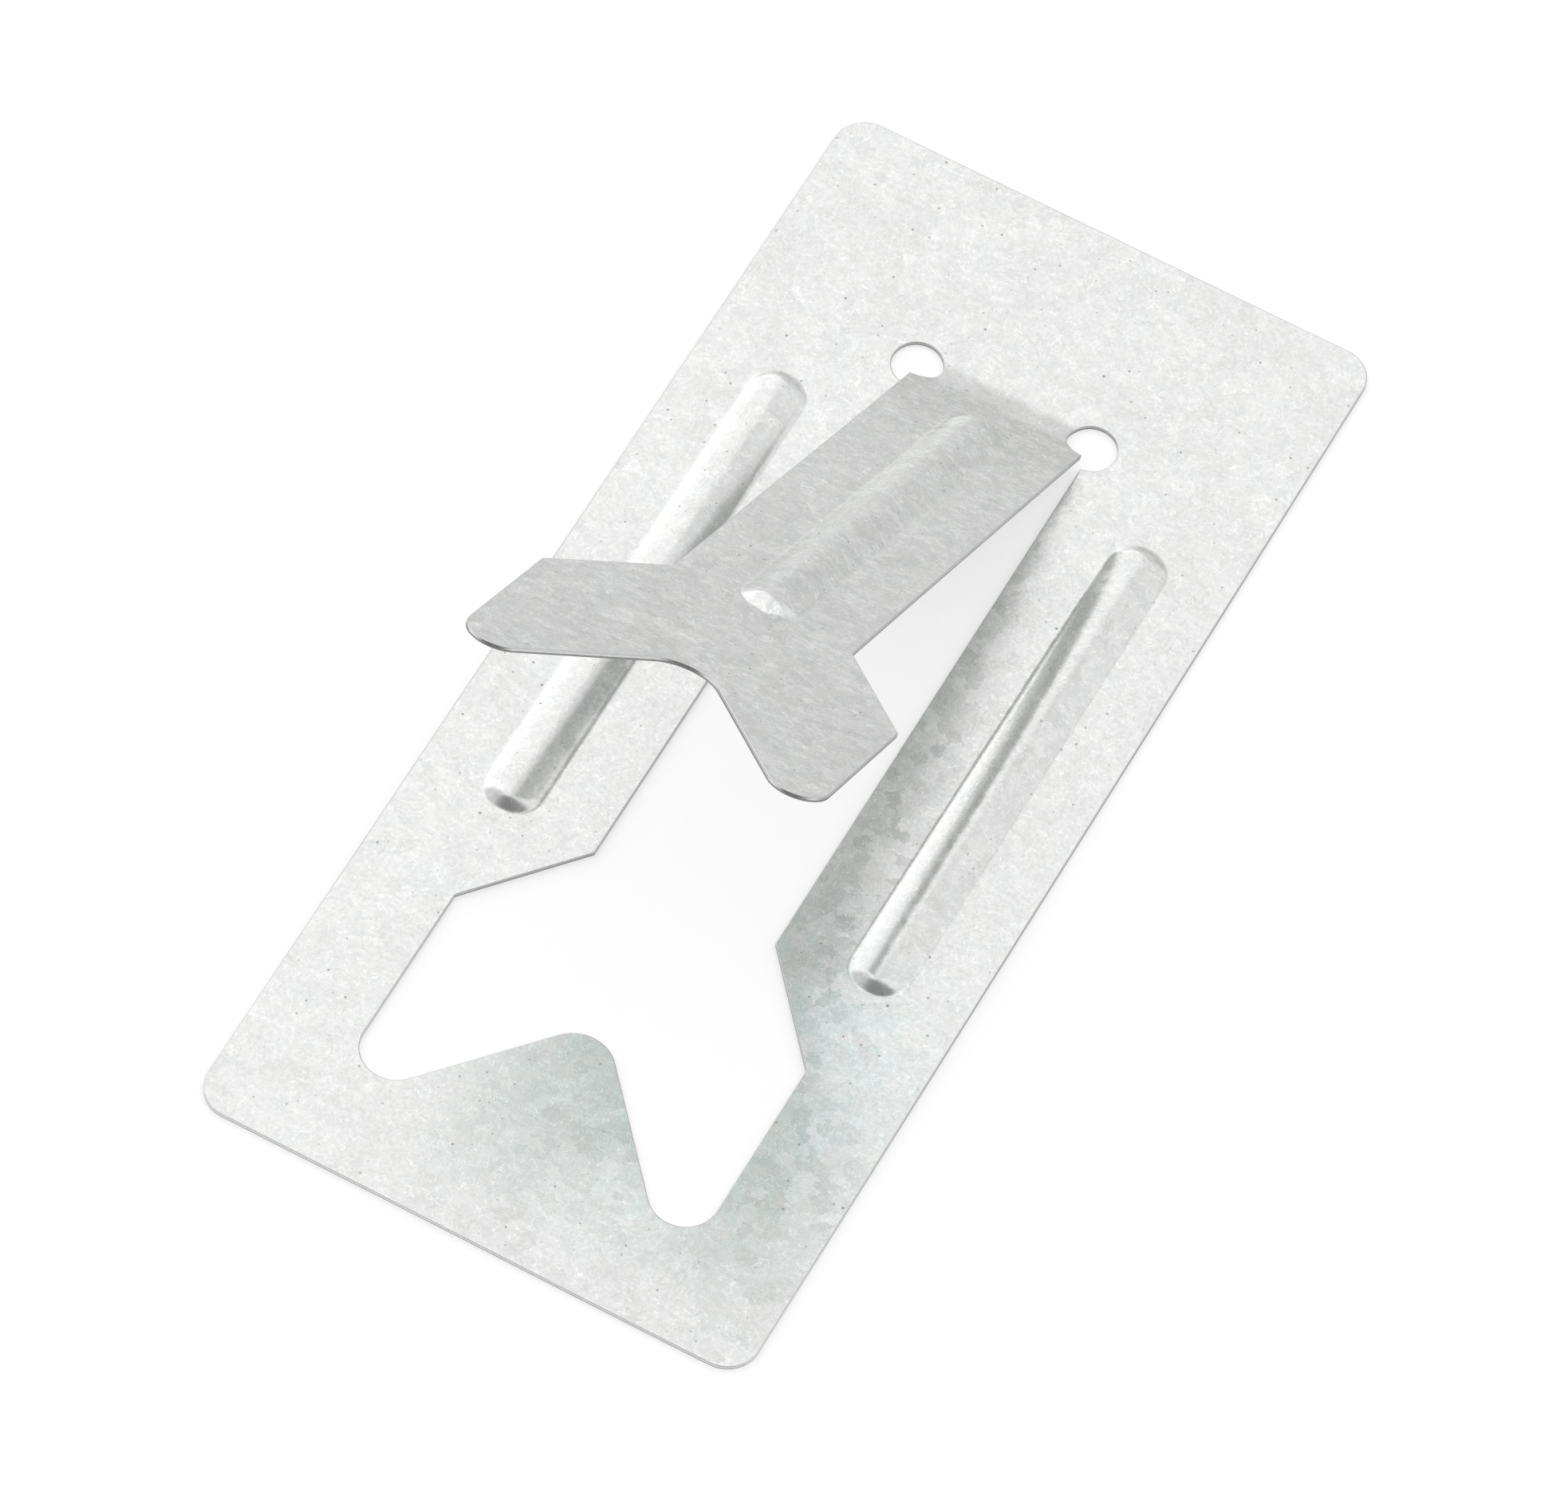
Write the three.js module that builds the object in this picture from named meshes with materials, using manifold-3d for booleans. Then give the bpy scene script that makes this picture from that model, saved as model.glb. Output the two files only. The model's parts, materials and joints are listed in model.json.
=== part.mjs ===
// Soldering iron stand, stamped from one piece of galvanised sheet steel.
//
// A flat plate lies on the bench. A Y-shaped tongue, sheared free of the plate on every side but
// one, is folded up about the strip left between two relief holes, and the iron's barrel lies in
// the V at its head. Two ribs stiffen the plate and one stiffens the tongue.
//
// Frame: millimetres, +Z up. The plate's underside is z = 0 and the origin is below its middle.
// +X is along the short side. The fold is towards +Y, and the head of the tongue towards -Y.
import * as THREE from "three";
import { mergeVertices } from "three/addons/utils/BufferGeometryUtils.js";
import Module from "manifold-3d";

// Sheet and plate
const SHEET = 0.5;
const PLATE_WIDTH = 58;
const PLATE_LENGTH = 128.6;
const PLATE_CORNER_RADIUS = 3.35;

// Tongue outline, as sheared in the flat plate: half widths in x, stations in y
const SHEAR_GAP = 0.3; // clearance between the tongue and the opening it came from
const STEM_HALF_WIDTH = 9.35;
const SHOULDER_START_Y = -22.4;
const SHOULDER_END_Y = -33.0;
const ARM_HALF_SPAN = 18.35;
const V_APEX_Y = -37.2; // where the two straight edges of the V would meet
const V_SLOPE = 1.15; // fall in y for each unit of x
const V_APEX_RADIUS = 4.3;
const ARM_TIP_RADIUS = 3.1;

// Fold, on the line through the centres of the two relief holes
const FOLD_Y = 41.5;
const FOLD_DEGREES = 34;
const BEND_INNER_RADIUS = 5.0;
const BEND_REACH = 1.85; // from the fold line to each end of the bent strip
const BEND_STEPS = 10;
const JOIN_GAP = 0.05; // between the bent strip and the flat sheet on each side of it
const RELIEF_HOLE_X = 9.5;
const RELIEF_HOLE_RADIUS = 2.55;

// Ribs, raised from the sheet to one side: a rounded crest between straight flanks, with a
// steeper wall round each end
const RIB_HEIGHT = 1.28;
const RIB_CREST_RADIUS = 2.4;
const RIB_FLANK_SLOPE = Math.tan((35 * Math.PI) / 180);
const RIB_END_RADIUS = 3.1; // at the foot
const RIB_END_SLOPE = Math.tan((48 * Math.PI) / 180);
const PLATE_RIB_X = 19.6;
const PLATE_RIB_ENDS_Y = [-19.6, 30.9];
const TONGUE_RIB_ENDS_Y = [-19.6, 32.0];

// Facets on curved faces
const RIB_SECTION_STEPS = 40;
const RIB_END_SEGMENTS = 72;
const HOLE_SEGMENTS = 48;
const OUTLINE_ARC_SEGMENTS = 8;

const DEG = Math.PI / 180;
const wasm = await Module();
wasm.setup();

function toSolid(geometry) {
  const bare = geometry.clone();
  bare.deleteAttribute("normal");
  bare.deleteAttribute("uv");
  const merged = mergeVertices(bare, 1e-4);
  const triVerts = new Uint32Array(merged.index.array);
  const vertProperties = new Float32Array(merged.attributes.position.array);
  return new wasm.Manifold(new wasm.Mesh({ numProp: 3, vertProperties, triVerts }));
}

function toGeometry(solid) {
  const { vertProperties, triVerts } = solid.getMesh();
  const indexed = new THREE.BufferGeometry();
  indexed.setAttribute("position", new THREE.BufferAttribute(vertProperties, 3));
  indexed.setIndex(new THREE.BufferAttribute(triVerts, 1));
  const geometry = indexed.toNonIndexed();
  geometry.computeVertexNormals();
  return geometry;
}

// Points of a closed outline whose corners, given as [x, y, radius], are rounded by arcs.
function roundedOutline(corners) {
  const points = [];
  corners.forEach(([x, y, radius], i) => {
    const corner = new THREE.Vector2(x, y);
    const [beforeX, beforeY] = corners.at(i - 1);
    const [afterX, afterY] = corners[(i + 1) % corners.length];
    const before = new THREE.Vector2(beforeX, beforeY).sub(corner).normalize();
    const after = new THREE.Vector2(afterX, afterY).sub(corner).normalize();
    if (radius === 0) {
      points.push(corner);
      return;
    }
    const halfAngle = Math.acos(before.dot(after)) / 2;
    const bisector = before.clone().add(after).normalize();
    const centre = corner.clone().addScaledVector(bisector, radius / Math.sin(halfAngle));
    const setback = radius / Math.tan(halfAngle);
    const from = corner.clone().addScaledVector(before, setback).sub(centre);
    const turn = (Math.PI - 2 * halfAngle) * Math.sign(after.cross(before));
    for (let step = 0; step <= OUTLINE_ARC_SEGMENTS; step++) {
      const angle = (turn * step) / OUTLINE_ARC_SEGMENTS;
      points.push(from.clone().rotateAround(new THREE.Vector2(), angle).add(centre));
    }
  });
  return points;
}

// The right half of the Y, from the fold down to the V; gap grows the outline outwards.
function tongueCorners(gap, rootY) {
  const stemX = STEM_HALF_WIDTH + gap;
  const armX = ARM_HALF_SPAN + gap;
  const shoulderSlope = (SHOULDER_START_Y - SHOULDER_END_Y) / (ARM_HALF_SPAN - STEM_HALF_WIDTH);
  const shoulderRise = gap * (Math.hypot(1, shoulderSlope) - shoulderSlope);
  const apexY = V_APEX_Y - gap * Math.hypot(1, V_SLOPE);
  const right = [
    [stemX, rootY, 0],
    [stemX, SHOULDER_START_Y + shoulderRise, 0],
    [armX, SHOULDER_END_Y + shoulderRise, 0],
    [armX, apexY - V_SLOPE * armX, ARM_TIP_RADIUS + gap],
  ];
  const left = right.map(([x, y, radius]) => [-x, y, radius]).reverse();
  return [...right, [0, apexY, V_APEX_RADIUS - gap], ...left];
}

function sheetFrom(points) {
  const shape = new THREE.Shape(points);
  return toSolid(new THREE.ExtrudeGeometry(shape, { depth: SHEET, bevelEnabled: false }));
}

// A block of the same outline, tall enough to cut right through the sheet.
function cutterFrom(points) {
  const shape = new THREE.Shape(points);
  const block = new THREE.ExtrudeGeometry(shape, { depth: 3 * SHEET, bevelEnabled: false });
  return toSolid(block.translate(0, 0, -SHEET));
}

function postAt(x, y, radius) {
  const post = new THREE.CylinderGeometry(radius, radius, 4 * SHEET, HOLE_SEGMENTS);
  return toSolid(post.rotateX(Math.PI / 2).translate(x, y, SHEET / 2));
}

function boxBetween([x0, y0, z0], [x1, y1, z1]) {
  const box = new THREE.BoxGeometry(x1 - x0, y1 - y0, z1 - z0);
  return toSolid(box.translate((x0 + x1) / 2, (y0 + y1) / 2, (z0 + z1) / 2));
}

// Height over the sheet's face that a rib of the given crest radius has beside its spine.
function sectionHeight(across, crestRadius) {
  const softness = crestRadius * RIB_FLANK_SLOPE ** 2;
  return RIB_HEIGHT + softness - Math.hypot(softness, RIB_FLANK_SLOPE * across);
}

// A cone lying under the wall round one end of a rib, cut off above the crest and below the sheet.
function endCone(x, y, offset) {
  const radiusAt = (height) =>
    RIB_END_RADIUS - (height + offset * Math.hypot(1, RIB_END_SLOPE)) / RIB_END_SLOPE;
  const low = -2 * SHEET;
  const high = RIB_HEIGHT + SHEET;
  const cone = new THREE.CylinderGeometry(
    radiusAt(high),
    radiusAt(low),
    high - low,
    RIB_END_SEGMENTS,
  );
  return toSolid(cone.rotateX(Math.PI / 2).translate(x, y, SHEET + (low + high) / 2));
}

// A long body lying along y, whose top is the face of a rib. The offset sinks it below that face:
// 0 gives the outer face, and the sheet thickness the inner one.
function ribBody(x, [y0, y1], offset) {
  const reach = 2 * RIB_END_RADIUS;
  const section = [];
  for (let step = 0; step <= RIB_SECTION_STEPS; step++) {
    const across = reach * ((2 * step) / RIB_SECTION_STEPS - 1);
    const height = sectionHeight(across, RIB_CREST_RADIUS - offset) - offset;
    section.push(new THREE.Vector2(across, SHEET + height));
  }
  const bar = new THREE.ExtrudeGeometry(new THREE.Shape(section), {
    depth: y1 - y0 + 2 * reach,
    bevelEnabled: false,
  });
  const endless = toSolid(bar.rotateX(Math.PI / 2).translate(x, y1 + reach, 0));
  const ends = wasm.Manifold.hull([endCone(x, y0, offset), endCone(x, y1, offset)]);
  return endless.intersect(ends);
}

// Raises a rib from a flat sheet, keeping the sheet's thickness over it.
function embossed(sheet, x, endsY) {
  const reach = 2 * RIB_END_RADIUS;
  const aboveSheet = boxBetween(
    [x - reach, endsY[0] - reach, SHEET / 2],
    [x + reach, endsY[1] + reach, SHEET + 2 * RIB_HEIGHT],
  );
  const outer = ribBody(x, endsY, 0).intersect(aboveSheet);
  return sheet.add(outer).subtract(ribBody(x, endsY, SHEET));
}

function platePart() {
  const halfX = PLATE_WIDTH / 2;
  const halfY = PLATE_LENGTH / 2;
  const corners = [
    [halfX, halfY, PLATE_CORNER_RADIUS],
    [-halfX, halfY, PLATE_CORNER_RADIUS],
    [-halfX, -halfY, PLATE_CORNER_RADIUS],
    [halfX, -halfY, PLATE_CORNER_RADIUS],
  ];
  const stripEndY = FOLD_Y + BEND_REACH + JOIN_GAP;
  const stripRoom = boxBetween(
    [-RELIEF_HOLE_X, FOLD_Y - SHEET, -SHEET],
    [RELIEF_HOLE_X, stripEndY, 2 * SHEET],
  );
  let sheet = sheetFrom(roundedOutline(corners));
  sheet = sheet.subtract(cutterFrom(roundedOutline(tongueCorners(SHEAR_GAP, FOLD_Y))));
  sheet = sheet.subtract(stripRoom);
  for (const side of [-1, 1]) {
    sheet = sheet.subtract(postAt(side * RELIEF_HOLE_X, FOLD_Y, RELIEF_HOLE_RADIUS));
    sheet = embossed(sheet, side * PLATE_RIB_X, PLATE_RIB_ENDS_Y);
  }
  return sheet;
}

function tonguePart() {
  const rootY = FOLD_Y - BEND_REACH - JOIN_GAP;
  let sheet = sheetFrom(roundedOutline(tongueCorners(0, rootY)));
  for (const side of [-1, 1]) {
    sheet = sheet.subtract(postAt(side * RELIEF_HOLE_X, FOLD_Y, RELIEF_HOLE_RADIUS));
  }
  return embossed(sheet, 0, TONGUE_RIB_ENDS_Y);
}

// The strip between the relief holes, bent about the x axis. Stations run from the plate to the
// tongue; at each the sheet is a thin rectangle, as wide as the relief holes leave it.
function bendGeometry() {
  const foldAngle = FOLD_DEGREES * DEG;
  const middleRadius = BEND_INNER_RADIUS + SHEET / 2;
  const tangent = middleRadius * Math.tan(foldAngle / 2);
  const stations = [];
  const addStation = (y, z, angle, along) => {
    const halfWidth = RELIEF_HOLE_X - Math.sqrt(RELIEF_HOLE_RADIUS ** 2 - along ** 2);
    const normalY = (Math.sin(angle) * SHEET) / 2;
    const normalZ = (Math.cos(angle) * SHEET) / 2;
    stations.push([
      [-halfWidth, y + normalY, z + normalZ],
      [-halfWidth, y - normalY, z - normalZ],
      [halfWidth, y - normalY, z - normalZ],
      [halfWidth, y + normalY, z + normalZ],
    ]);
  };
  addStation(FOLD_Y + BEND_REACH, SHEET / 2, 0, BEND_REACH);
  for (let step = 0; step <= BEND_STEPS; step++) {
    const angle = (foldAngle * step) / BEND_STEPS;
    const along = tangent * (1 - (2 * step) / BEND_STEPS);
    const y = FOLD_Y + tangent - middleRadius * Math.sin(angle);
    const z = SHEET / 2 + middleRadius * (1 - Math.cos(angle));
    addStation(y, z, angle, along);
  }
  const endY = FOLD_Y - BEND_REACH * Math.cos(foldAngle);
  addStation(endY, SHEET / 2 + BEND_REACH * Math.sin(foldAngle), foldAngle, BEND_REACH);

  const index = [0, 2, 1, 0, 3, 2];
  for (let station = 0; station + 1 < stations.length; station++) {
    for (let side = 0; side < 4; side++) {
      const a = 4 * station + side;
      const b = 4 * station + ((side + 1) % 4);
      index.push(a, b, a + 4, b, b + 4, a + 4);
    }
  }
  const last = 4 * (stations.length - 1);
  index.push(last, last + 1, last + 2, last, last + 2, last + 3);
  const geometry = new THREE.BufferGeometry();
  geometry.setAttribute("position", new THREE.Float32BufferAttribute(stations.flat(2), 3));
  geometry.setIndex(index);
  return geometry;
}

function galvanised(color) {
  return new THREE.MeshStandardMaterial({ color, roughness: 0.35, metalness: 0.9 });
}

function named(name, geometry, material) {
  const mesh = new THREE.Mesh(geometry, material);
  mesh.name = name;
  return mesh;
}

const stand = new THREE.Group();
stand.name = "soldering_iron_stand";
stand.add(named("base_plate", toGeometry(platePart()), galvanised(0xd5d9d8)));
stand.add(named("fold_bend", toGeometry(toSolid(bendGeometry())), galvanised(0xcdd1d0)));

// The tongue turns about the fold line, at mid thickness.
const fold = new THREE.Group();
fold.position.set(0, FOLD_Y, SHEET / 2);
fold.rotation.x = -FOLD_DEGREES * DEG;
stand.add(fold);
const tongue = named("rest_tongue", toGeometry(tonguePart()), galvanised(0xc8cccb));
tongue.position.set(0, -FOLD_Y, -SHEET / 2);
fold.add(tongue);

export default stand;
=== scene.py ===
import json
import math

import bpy
import numpy as np
from mathutils import Matrix, Vector
from mathutils.geometry import delaunay_2d_cdt


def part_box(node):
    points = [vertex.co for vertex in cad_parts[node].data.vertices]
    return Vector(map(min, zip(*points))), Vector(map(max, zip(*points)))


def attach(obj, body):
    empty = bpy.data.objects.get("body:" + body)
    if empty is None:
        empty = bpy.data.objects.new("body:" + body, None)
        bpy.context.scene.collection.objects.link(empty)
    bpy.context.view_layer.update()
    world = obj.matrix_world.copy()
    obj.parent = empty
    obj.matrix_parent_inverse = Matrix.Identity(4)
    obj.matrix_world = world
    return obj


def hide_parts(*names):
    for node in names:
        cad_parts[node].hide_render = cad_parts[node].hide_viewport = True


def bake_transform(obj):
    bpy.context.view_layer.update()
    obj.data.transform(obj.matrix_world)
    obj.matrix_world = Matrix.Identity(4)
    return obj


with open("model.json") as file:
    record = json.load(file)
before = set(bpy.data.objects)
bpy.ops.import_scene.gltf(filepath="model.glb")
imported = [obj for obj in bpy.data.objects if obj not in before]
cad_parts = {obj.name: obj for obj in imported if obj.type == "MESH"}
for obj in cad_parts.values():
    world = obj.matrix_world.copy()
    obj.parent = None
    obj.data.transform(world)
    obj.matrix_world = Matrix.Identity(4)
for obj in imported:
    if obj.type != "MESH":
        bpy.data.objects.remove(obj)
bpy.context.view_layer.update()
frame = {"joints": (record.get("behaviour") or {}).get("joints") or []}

# ---------------------------------------------------------------- sizes, in metres
MM = 0.001
_, PLATE_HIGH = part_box("base_plate")
_, TONGUE_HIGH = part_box("rest_tongue")
FOLD = frame["joints"][0]
FOLD_Y = FOLD["pos_m"][1]
SHEET = 2 * FOLD["pos_m"][2]  # the hinge lies at mid thickness
FOLD_ANGLE = -math.radians(FOLD["range_deg"][0])  # the lower limit is the flat sheet

PLATE_CORNER_RADIUS = 3.35 * MM
SHEAR_GAP = 0.3 * MM
STEM_HALF_WIDTH = 9.35 * MM
SHOULDER_START_Y = -22.4 * MM
SHOULDER_END_Y = -33.0 * MM
ARM_HALF_SPAN = TONGUE_HIGH.x
V_APEX_Y = -37.2 * MM
V_SLOPE = 1.15
V_APEX_RADIUS = 4.3 * MM
ARM_TIP_RADIUS = 3.1 * MM
SHOULDER_RADIUS = 0.35 * MM

BEND_REACH = 1.85 * MM  # the bent strip's ends, measured along the sheet from the fold line
RELIEF_HOLE_X = 9.5 * MM
RELIEF_HOLE_RADIUS = 2.55 * MM

RIB_HEIGHT = PLATE_HIGH.z - SHEET
RIB_CREST_RADIUS = 2.4 * MM
RIB_FLANK_SLOPE = math.tan(math.radians(35))
RIB_END_RADIUS = 3.1 * MM  # the foot of the steep wall round each end
RIB_END_SLOPE = math.tan(math.radians(48))
RIB_CREASE = 0.38 * MM  # how far the wall's top edge is rounded
RIB_FOOT = 0.24 * MM  # how far the foot is rounded
RIB_CREST_REACH = 1.5 * MM  # the points of a rib are closer together past this
RIB_LIMIT = 3.45 * MM  # past this the sheet is flat
PLATE_RIB_X = 19.6 * MM
PLATE_RIB_ENDS_Y = (-19.6 * MM, 30.9 * MM)
TONGUE_RIB_ENDS_Y = (-19.6 * MM, 32.0 * MM)

# Sheared edge, from the top face down to the underside: (set back in mm, share of the thickness).
# The top corner is rolled over, and the bottom one is only eased.
ROLLED_CORNER = [(0.11, 0.0), (0.065, 0.016), (0.03, 0.056), (0.008, 0.12), (0.0, 0.21)]
LOWER_EDGE = [(0.0, 0.54), (0.004, 0.90), (0.015, 0.97), (0.04, 1.0)]
EDGE_PROFILE = [(inset * MM, share * SHEET) for inset, share in ROLLED_CORNER + LOWER_EDGE]

GRID = 2.4 * MM  # spacing of the points inside a flat stretch of sheet
GRID_CLEARANCE = 0.45 * GRID
OUTLINE_STEP = 1.2 * MM
ARC_STEP = math.radians(7)
RIB_END_STEPS = 36
BEND_STATIONS = 25
BEND_COLUMNS = 15
BEND_SUM_STEPS = 2000
WAVE_FADE = 8 * MM  # over this length beyond the bent strip the waviness grows to its full height
WELD = 1e-4 * MM

# ---------------------------------------------------------------- finish
# Patterns lie on the flat sheet in millimetres, so a scale of 0.7 means 0.7 cells to the mm.
ZINC_TINT = (0.80, 0.812, 0.80)
ZINC_ROUGHNESS = 0.28
WANDER = 1.3  # patterns are pushed about over this width, in mm
CRYSTAL_SCALE = 0.70
CRYSTAL_TILT = 0.04
COOL_CRYSTAL = (0.978, 1.0, 0.996, 1.0)
WARM_CRYSTAL = (0.998, 0.997, 0.985, 1.0)
# A blue-grey tint painted where the plate mirrors the tongue's underside: a painted reflection,
# strongest on the cooler crystals.
PAINTED_REFLECTION_TINT = (0.925, 1.0, 1.0, 1.0)
PAINTED_REFLECTION_CENTRE = (11.0, -37.0, 0.0)
PAINTED_REFLECTION_OUTER, PAINTED_REFLECTION_INNER = 27.0, 9.0  # the painted reflection fades out between these distances
PIT_SCALE = 1.05
PIT_FROM = 0.52  # a cell holds a pit if its random number is over this
PIT_DARKENING = 0.45
PLATE_STREAKS = 0.3
TONGUE_STREAKS = 0.70
# The edge colours are darker partly from the bare steel itself and partly as painted shade: the contact
# shadow that the edge mirrors at the floor.
BURNISHED_DARK, BURNISHED_LIGHT = (0.54, 0.545, 0.545, 1.0), (0.75, 0.76, 0.76, 1.0)
TORN_DARK, TORN_LIGHT = (0.24, 0.24, 0.24, 1.0), (0.44, 0.44, 0.435, 1.0)

# ---------------------------------------------------------------- floor, light and camera
FLOOR_HALF_SIZE = 1.5
FLOOR_Z = -0.07 * MM  # just under the lowest point of the slightly wavy sheet
FLOOR_SHADE = 0.65
FLOOR_GLOW = 0.48
# Painted light and shade on the floor, given off as glow where the metal mirrors it: brighter in front
# and to the left, a painted shadow under the tongue. As factors: (axis, from, to, factor there and
# there)
FLOOR_PAINTED_LIGHT = [
    ("Y", -0.08, -0.015, 1.18, 0.62),
    ("Y", 0.03, 0.08, 1.0, 1.33),
    ("Y", 0.15, 0.32, 1.0, 0.80),
    ("X", -0.10, 0.08, 1.04, 0.90),
]
TENT_COLOUR = (1.0, 0.985, 0.995, 1.0)
TENT_LEVEL = 0.735
# Brighter places: (direction, half-angles in degrees where it ends and where it is full, strength)
TENT_LOBES = [
    ((-0.80, 0.45, 0.37), 41, 18, 1.1),
    ((0.50, 0.10, 0.86), 24, 12, 0.45),
    ((-0.20, 0.97, 0.12), 28, 8, 0.06),
]
TENT_BRIGHTEST = 1.14  # keeps the zinc's grain visible where it mirrors the brightest part
TENT_BRIGHTEST_LOW = 1.50  # the same, close to the horizon
TENT_DARK_SIDE = (0.39, -0.92, 0.0)  # towards the camera
CAMERA_AZIMUTH = math.radians(22.97)
CAMERA_ELEVATION = math.radians(57.78)
CAMERA_ROLL = math.radians(6.41)
CAMERA_DISTANCE = 1.0397
CAMERA_PIVOT = Vector((0, 0, 15)) * MM
CAMERA_AIM = Vector((3.65, -11.37, 15.0)) * MM
CAMERA_LENS = 256
CAMERA_SENSOR = 36
CAMERA_CLIP_END = 10


# ---------------------------------------------------------------- outlines in the flat sheet
def arc(centre, radius, start, end):
    """Points of an arc between two angles in degrees, ends included."""
    count = max(2, int(abs(math.radians(end - start)) / ARC_STEP) + 1)
    angles = np.radians(np.linspace(start, end, count + 1))
    return [(centre[0] + radius * math.cos(a), centre[1] + radius * math.sin(a)) for a in angles]


def rounded(corners):
    """Points of a closed outline whose corners are (x, y, radius)."""
    points = []
    for i, (x, y, radius) in enumerate(corners):
        corner = Vector((x, y))
        if radius == 0:
            points.append((x, y))
            continue
        before = (Vector(corners[i - 1][:2]) - corner).normalized()
        after = (Vector(corners[(i + 1) % len(corners)][:2]) - corner).normalized()
        half = before.angle(after) / 2
        centre = corner + (before + after).normalized() * radius / math.sin(half)
        start = corner + before * radius / math.tan(half) - centre
        turn = before.angle_signed(after)
        sweep = math.copysign(math.pi - 2 * half, turn)
        steps = max(3, int(abs(sweep) / ARC_STEP) + 1)
        for step in range(steps + 1):
            a = sweep * step / steps
            cos, sin = math.cos(a), math.sin(a)
            spoke = Vector((start.x * cos - start.y * sin, start.x * sin + start.y * cos))
            points.append(tuple(centre + spoke))
    return points


def plate_outline():
    x, y, r = PLATE_HIGH.x, PLATE_HIGH.y, PLATE_CORNER_RADIUS
    return rounded([(x, y, r), (-x, y, r), (-x, -y, r), (x, -y, r)])


def y_corners(gap):
    """Right half of the Y below its root, then the V and the left half; gap grows the outline."""
    stem, arm = STEM_HALF_WIDTH + gap, ARM_HALF_SPAN + gap
    slope = (SHOULDER_START_Y - SHOULDER_END_Y) / (ARM_HALF_SPAN - STEM_HALF_WIDTH)
    rise = gap * (math.hypot(1, slope) - slope)
    apex = V_APEX_Y - gap * math.hypot(1, V_SLOPE)
    right = [
        (stem, FOLD_Y, 0),
        (stem, SHOULDER_START_Y + rise, SHOULDER_RADIUS),
        (arm, SHOULDER_END_Y + rise, SHOULDER_RADIUS),
        (arm, apex - V_SLOPE * arm, ARM_TIP_RADIUS + gap),
    ]
    left = [(-x, y, r) for x, y, r in reversed(right)]
    return right + [(0, apex, V_APEX_RADIUS - gap)] + left


def relief_angle(x_from_centre):
    """Angle on a relief hole, in degrees, of the point this far beside its centre."""
    return math.degrees(math.acos(x_from_centre / RELIEF_HOLE_RADIUS))


def seam_angle():
    """Where the relief hole's edge crosses an end of the bent strip, from the -x side."""
    return math.degrees(math.asin(BEND_REACH / RELIEF_HOLE_RADIUS))


def mirrored(points):
    return [(-x, y) for x, y in reversed(points)]


def opening_outline():
    """The opening left by the tongue, relief holes included, round to the bent strip."""
    stem = STEM_HALF_WIDTH + SHEAR_GAP
    below = relief_angle(stem - RELIEF_HOLE_X)
    hole = arc((RELIEF_HOLE_X, FOLD_Y), RELIEF_HOLE_RADIUS, 180 - seam_angle(), -below)
    y_shape = rounded(y_corners(SHEAR_GAP))[1:-1]
    return hole + y_shape + mirrored(hole)


def tongue_outline():
    below = relief_angle(STEM_HALF_WIDTH - RELIEF_HOLE_X)
    hole = arc((RELIEF_HOLE_X, FOLD_Y), RELIEF_HOLE_RADIUS, 180 + seam_angle(), 360 - below)
    y_shape = rounded(y_corners(0))[1:-1]
    return hole + y_shape + mirrored(hole)


def divided(points, has_seam):
    """The closed outline with long edges divided, and a flag for points strictly inside the seam."""
    made, inside_seam = [], []
    for i, point in enumerate(points):
        a, b = np.array(point), np.array(points[(i + 1) % len(points)])
        steps = max(1, int(math.ceil(np.linalg.norm(b - a) / OUTLINE_STEP)))
        on_seam = has_seam and i == len(points) - 1
        for step in range(steps):
            made.append(a + (b - a) * step / steps)
            inside_seam.append(on_seam and step > 0)
    return np.array(made), np.array(inside_seam)


def inset_directions(points, material_left, seam_mask):
    """How each outline point moves for a unit set-back from the sheared edge."""
    before = points - np.roll(points, 1, axis=0)
    after = np.roll(points, -1, axis=0) - points
    sign = 1 if material_left else -1

    def normal(v):
        v = v / np.linalg.norm(v, axis=1)[:, None]
        return sign * np.stack([-v[:, 1], v[:, 0]], axis=1)

    n0, n1 = normal(before), normal(after)
    middle = n0 + n1
    directions = 2 * middle / (middle * middle).sum(axis=1)[:, None]
    directions[seam_mask] = 0
    if seam_mask.any():
        # The two ends of the seam slide along it, so both sides of the seam keep one section
        last = int(np.argmax(seam_mask)) - 1
        for end, sheared in ((0, n1[0]), (last, n0[last])):
            along = np.array([-np.sign(points[end][0]), 0.0])
            directions[end] = along / (along @ sheared)
    return directions


def signed_area(points):
    x, y = points[:, 0], points[:, 1]
    return 0.5 * np.sum(x * np.roll(y, -1) - np.roll(x, -1) * y)


# ---------------------------------------------------------------- ribs
def smooth_min(a, b, width):
    overlap = max(width - abs(a - b), 0.0) / width
    return min(a, b) - overlap * overlap * width / 4


def rib_height(across, from_spine, under):
    """Height over the sheet's face: a rounded crest with straight flanks, cut short by end walls."""
    crest_radius = RIB_CREST_RADIUS - SHEET if under else RIB_CREST_RADIUS
    softness = crest_radius * RIB_FLANK_SLOPE**2
    bar = RIB_HEIGHT + softness - math.hypot(softness, RIB_FLANK_SLOPE * across)
    wall = (RIB_END_RADIUS - from_spine) * RIB_END_SLOPE
    ground = 0.0
    if under:
        bar -= SHEET
        wall -= SHEET * math.hypot(1, RIB_END_SLOPE)
        ground = -SHEET
    return -smooth_min(-smooth_min(bar, wall, RIB_CREASE), -ground, RIB_FOOT)


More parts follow.
